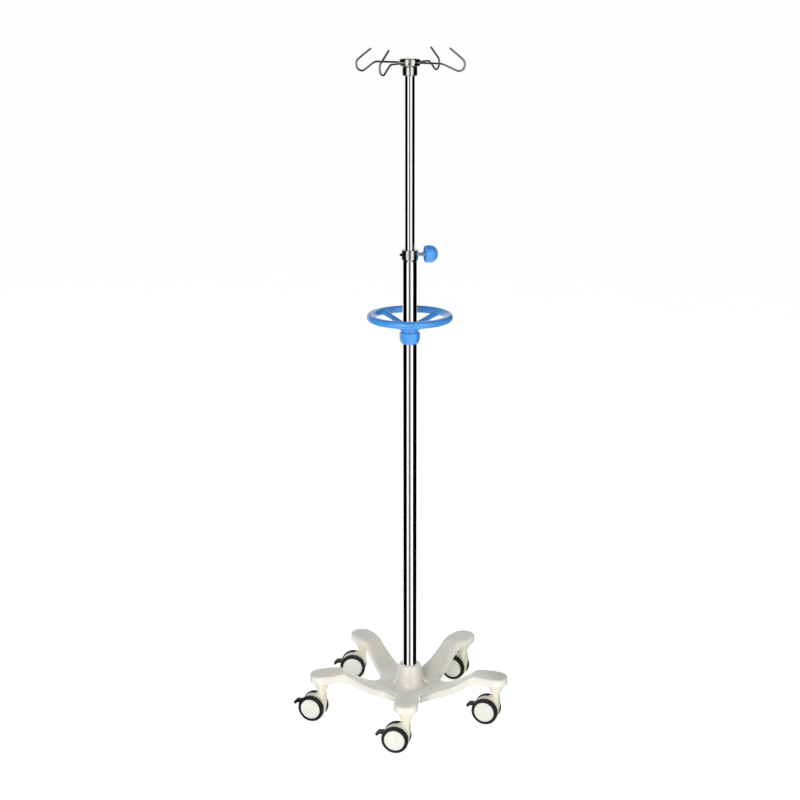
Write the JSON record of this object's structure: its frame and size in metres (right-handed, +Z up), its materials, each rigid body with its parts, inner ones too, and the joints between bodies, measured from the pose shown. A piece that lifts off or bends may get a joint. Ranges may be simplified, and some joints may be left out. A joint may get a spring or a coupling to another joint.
{
  "type": "iv drip stand",
  "caption": "Mobile infusion stand: five-leg castor base, telescopic polished mast with clamp knob, round push handle and wire bag hooks.",
  "frame": {"origin": "on the mast axis at floor level, midway between the five castor stems", "axes": "+Z up along the mast; one base leg points along -Y, the clamp knob is near +X"},
  "size_m": [0.5007, 0.4507, 1.5414],
  "materials": {
    "base_plastic": "satin moulded ABS, warm ivory white",
    "caster_plastic": "moulded nylon, slightly yellow ivory",
    "wheel_plastic": "moulded ivory wheel disc, satin",
    "tyre": "smooth black polyurethane",
    "black_plastic": "moulded black nylon",
    "polished_tube": "mirror-polished stainless steel",
    "collar_steel": "polished cast steel",
    "hook_wire": "polished stainless wire",
    "blue_plastic": "glossy moulded blue plastic",
    "zinc_plate": "zinc-plated steel",
    "screw_thread": "yellow zinc-plated thread",
    "black_screw": "black oxide",
    "brass": "turned brass",
    "nylon": "natural nylon"
  },
  "bodies": {
    "base": {"base_star": "base_plastic", "hub_plate": "zinc_plate", "column_plug": "zinc_plate", "column_bolt": "zinc_plate", "stem_cups": "caster_plastic", "caster_stems": "zinc_plate", "lower_tube": "polished_tube", "clamp_collar": "collar_steel", "collar_set_screw": "black_screw", "guide_bush": "nylon"},
    "clamp_pad_slider": {"clamp_pad": "brass"},
    "clamp_knob_body": {"clamp_screw": "screw_thread", "clamp_knob": "blue_plastic"},
    "mast_piston": {"mast_plug": "nylon"},
    "mast": {"upper_tube": "polished_tube", "hook_head": "collar_steel", "head_screws": "black_screw", "hook_1": "hook_wire", "hook_2": "hook_wire", "hook_3": "hook_wire", "hook_4": "hook_wire"},
    "handle_sleeve": {"handle_liner": "nylon"},
    "handle": {"handle_ring": "blue_plastic"},
    "collet": {"collet_ring": "nylon"},
    "handle_clamp_nut": {"clamp_nut": "blue_plastic"},
    "caster_1_swivel": {"caster_1_housing": "caster_plastic", "caster_1_axle": "zinc_plate"},
    "caster_1_pedal": {"caster_1_brake_pedal": "black_plastic"},
    "caster_1_wheel_left": {"caster_1_left_wheel": "wheel_plastic", "caster_1_left_tyre": "tyre"},
    "caster_1_wheel_right": {"caster_1_right_wheel": "wheel_plastic", "caster_1_right_tyre": "tyre"},
    "caster_2_swivel": {"caster_2_housing": "caster_plastic", "caster_2_axle": "zinc_plate"},
    "caster_2_pedal": {"caster_2_brake_pedal": "black_plastic"},
    "caster_2_wheel_left": {"caster_2_left_wheel": "wheel_plastic", "caster_2_left_tyre": "tyre"},
    "caster_2_wheel_right": {"caster_2_right_wheel": "wheel_plastic", "caster_2_right_tyre": "tyre"},
    "caster_3_swivel": {"caster_3_housing": "caster_plastic", "caster_3_axle": "zinc_plate"},
    "caster_3_pedal": {"caster_3_brake_pedal": "black_plastic"},
    "caster_3_wheel_left": {"caster_3_left_wheel": "wheel_plastic", "caster_3_left_tyre": "tyre"},
    "caster_3_wheel_right": {"caster_3_right_wheel": "wheel_plastic", "caster_3_right_tyre": "tyre"},
    "caster_4_swivel": {"caster_4_housing": "caster_plastic", "caster_4_axle": "zinc_plate"},
    "caster_4_pedal": {"caster_4_brake_pedal": "black_plastic"},
    "caster_4_wheel_left": {"caster_4_left_wheel": "wheel_plastic", "caster_4_left_tyre": "tyre"},
    "caster_4_wheel_right": {"caster_4_right_wheel": "wheel_plastic", "caster_4_right_tyre": "tyre"},
    "caster_5_swivel": {"caster_5_housing": "caster_plastic", "caster_5_axle": "zinc_plate"},
    "caster_5_pedal": {"caster_5_brake_pedal": "black_plastic"},
    "caster_5_wheel_left": {"caster_5_left_wheel": "wheel_plastic", "caster_5_left_tyre": "tyre"},
    "caster_5_wheel_right": {"caster_5_right_wheel": "wheel_plastic", "caster_5_right_tyre": "tyre"}
  },
  "joints": [
    {"name": "mast_slide", "type": "slide", "parent": "base", "child": "mast_piston", "axis": [0, 0, 1], "range_m": [-0.37, 0.45]},
    {"name": "mast_turn", "type": "hinge", "parent": "mast_piston", "child": "mast", "pos_m": [0, 0, 0.52], "axis": [0, 0, 1], "continuous": true},
    {"name": "clamp_pad_slide", "type": "slide", "parent": "base", "child": "clamp_pad_slider", "axis": [0.9744, 0.225, 0], "range_m": [0, 0.0025]},
    {"name": "clamp_knob_turn", "type": "hinge", "parent": "clamp_pad_slider", "child": "clamp_knob_body", "pos_m": [0, 0, 1.0925], "axis": [0.9744, 0.225, 0], "range_deg": [0, 720]},
    {"name": "handle_slide", "type": "slide", "parent": "base", "child": "handle_sleeve", "axis": [0, 0, 1], "range_m": [-0.5, 0.09]},
    {"name": "handle_turn", "type": "hinge", "parent": "handle_sleeve", "child": "handle", "pos_m": [0, 0, 0.952], "axis": [0, 0, 1], "continuous": true},
    {"name": "collet_slide", "type": "slide", "parent": "handle", "child": "collet", "axis": [0, 0, 1], "range_m": [-0.002, 0]},
    {"name": "clamp_nut_turn", "type": "hinge", "parent": "collet", "child": "handle_clamp_nut", "pos_m": [0, 0, 0.905], "axis": [0, 0, 1], "range_deg": [-360, 0]},
    {"name": "caster_1_swivel_turn", "type": "hinge", "parent": "base", "child": "caster_1_swivel", "pos_m": [0, -0.213, 0.079], "axis": [0, 0, 1], "continuous": true},
    {"name": "caster_1_left_spin", "type": "hinge", "parent": "caster_1_swivel", "child": "caster_1_wheel_left", "pos_m": [-0.0216, -0.2088, 0.031], "axis": [0.1908, 0.9816, 0], "continuous": true},
    {"name": "caster_1_right_spin", "type": "hinge", "parent": "caster_1_swivel", "child": "caster_1_wheel_right", "pos_m": [-0.0216, -0.2088, 0.031], "axis": [0.1908, 0.9816, 0], "continuous": true},
    {"name": "caster_1_pedal_press", "type": "hinge", "parent": "caster_1_swivel", "child": "caster_1_pedal", "pos_m": [-0.03534, -0.20613, 0.038], "axis": [-0.1908, -0.9816, 0], "range_deg": [0, 15]},
    {"name": "caster_2_swivel_turn", "type": "hinge", "parent": "base", "child": "caster_2_swivel", "pos_m": [0.20258, -0.06582, 0.079], "axis": [0, 0, 1], "continuous": true},
    {"name": "caster_2_left_spin", "type": "hinge", "parent": "caster_2_swivel", "child": "caster_2_wheel_left", "pos_m": [0.18154, -0.05939, 0.031], "axis": [0.2924, 0.9563, 0], "continuous": true},
    {"name": "caster_2_right_spin", "type": "hinge", "parent": "caster_2_swivel", "child": "caster_2_wheel_right", "pos_m": [0.18154, -0.05939, 0.031], "axis": [0.2924, 0.9563, 0], "continuous": true},
    {"name": "caster_2_pedal_press", "type": "hinge", "parent": "caster_2_swivel", "child": "caster_2_pedal", "pos_m": [0.16815, -0.05529, 0.038], "axis": [-0.2924, -0.9563, 0], "range_deg": [0, 15]},
    {"name": "caster_3_swivel_turn", "type": "hinge", "parent": "base", "child": "caster_3_swivel", "pos_m": [0.1252, 0.17232, 0.079], "axis": [0, 0, 1], "continuous": true},
    {"name": "caster_3_left_spin", "type": "hinge", "parent": "caster_3_swivel", "child": "caster_3_wheel_left", "pos_m": [0.10495, 0.18092, 0.031], "axis": [0.3907, 0.9205, 0], "continuous": true},
    {"name": "caster_3_right_spin", "type": "hinge", "parent": "caster_3_swivel", "child": "caster_3_wheel_right", "pos_m": [0.10495, 0.18092, 0.031], "axis": [0.3907, 0.9205, 0], "continuous": true},
    {"name": "caster_3_pedal_press", "type": "hinge", "parent": "caster_3_swivel", "child": "caster_3_pedal", "pos_m": [0.09206, 0.18639, 0.038], "axis": [-0.3907, -0.9205, 0], "range_deg": [0, 15]},
    {"name": "caster_4_swivel_turn", "type": "hinge", "parent": "base", "child": "caster_4_swivel", "pos_m": [-0.1252, 0.17232, 0.079], "axis": [0, 0, 1], "continuous": true},
    {"name": "caster_4_left_spin", "type": "hinge", "parent": "caster_4_swivel", "child": "caster_4_wheel_left", "pos_m": [-0.14719, 0.17309, 0.031], "axis": [0.0349, 0.9994, 0], "continuous": true},
    {"name": "caster_4_right_spin", "type": "hinge", "parent": "caster_4_swivel", "child": "caster_4_wheel_right", "pos_m": [-0.14719, 0.17309, 0.031], "axis": [0.0349, 0.9994, 0], "continuous": true},
    {"name": "caster_4_pedal_press", "type": "hinge", "parent": "caster_4_swivel", "child": "caster_4_pedal", "pos_m": [-0.16118, 0.17358, 0.038], "axis": [-0.0349, -0.9994, 0], "range_deg": [0, 15]},
    {"name": "caster_5_swivel_turn", "type": "hinge", "parent": "base", "child": "caster_5_swivel", "pos_m": [-0.20258, -0.06582, 0.079], "axis": [0, 0, 1], "continuous": true},
    {"name": "caster_5_left_spin", "type": "hinge", "parent": "caster_5_swivel", "child": "caster_5_wheel_left", "pos_m": [-0.22361, -0.05939, 0.031], "axis": [0.2924, 0.9563, 0], "continuous": true},
    {"name": "caster_5_right_spin", "type": "hinge", "parent": "caster_5_swivel", "child": "caster_5_wheel_right", "pos_m": [-0.22361, -0.05939, 0.031], "axis": [0.2924, 0.9563, 0], "continuous": true},
    {"name": "caster_5_pedal_press", "type": "hinge", "parent": "caster_5_swivel", "child": "caster_5_pedal", "pos_m": [-0.237, -0.05529, 0.038], "axis": [-0.2924, -0.9563, 0], "range_deg": [0, 15]}
  ],
  "couplings": [
    {"joint": "clamp_pad_slide", "follows": "clamp_knob_turn", "m_per_rad": 0.00019894},
    {"joint": "collet_slide", "follows": "clamp_nut_turn", "m_per_rad": 0.00031831}
  ]
}
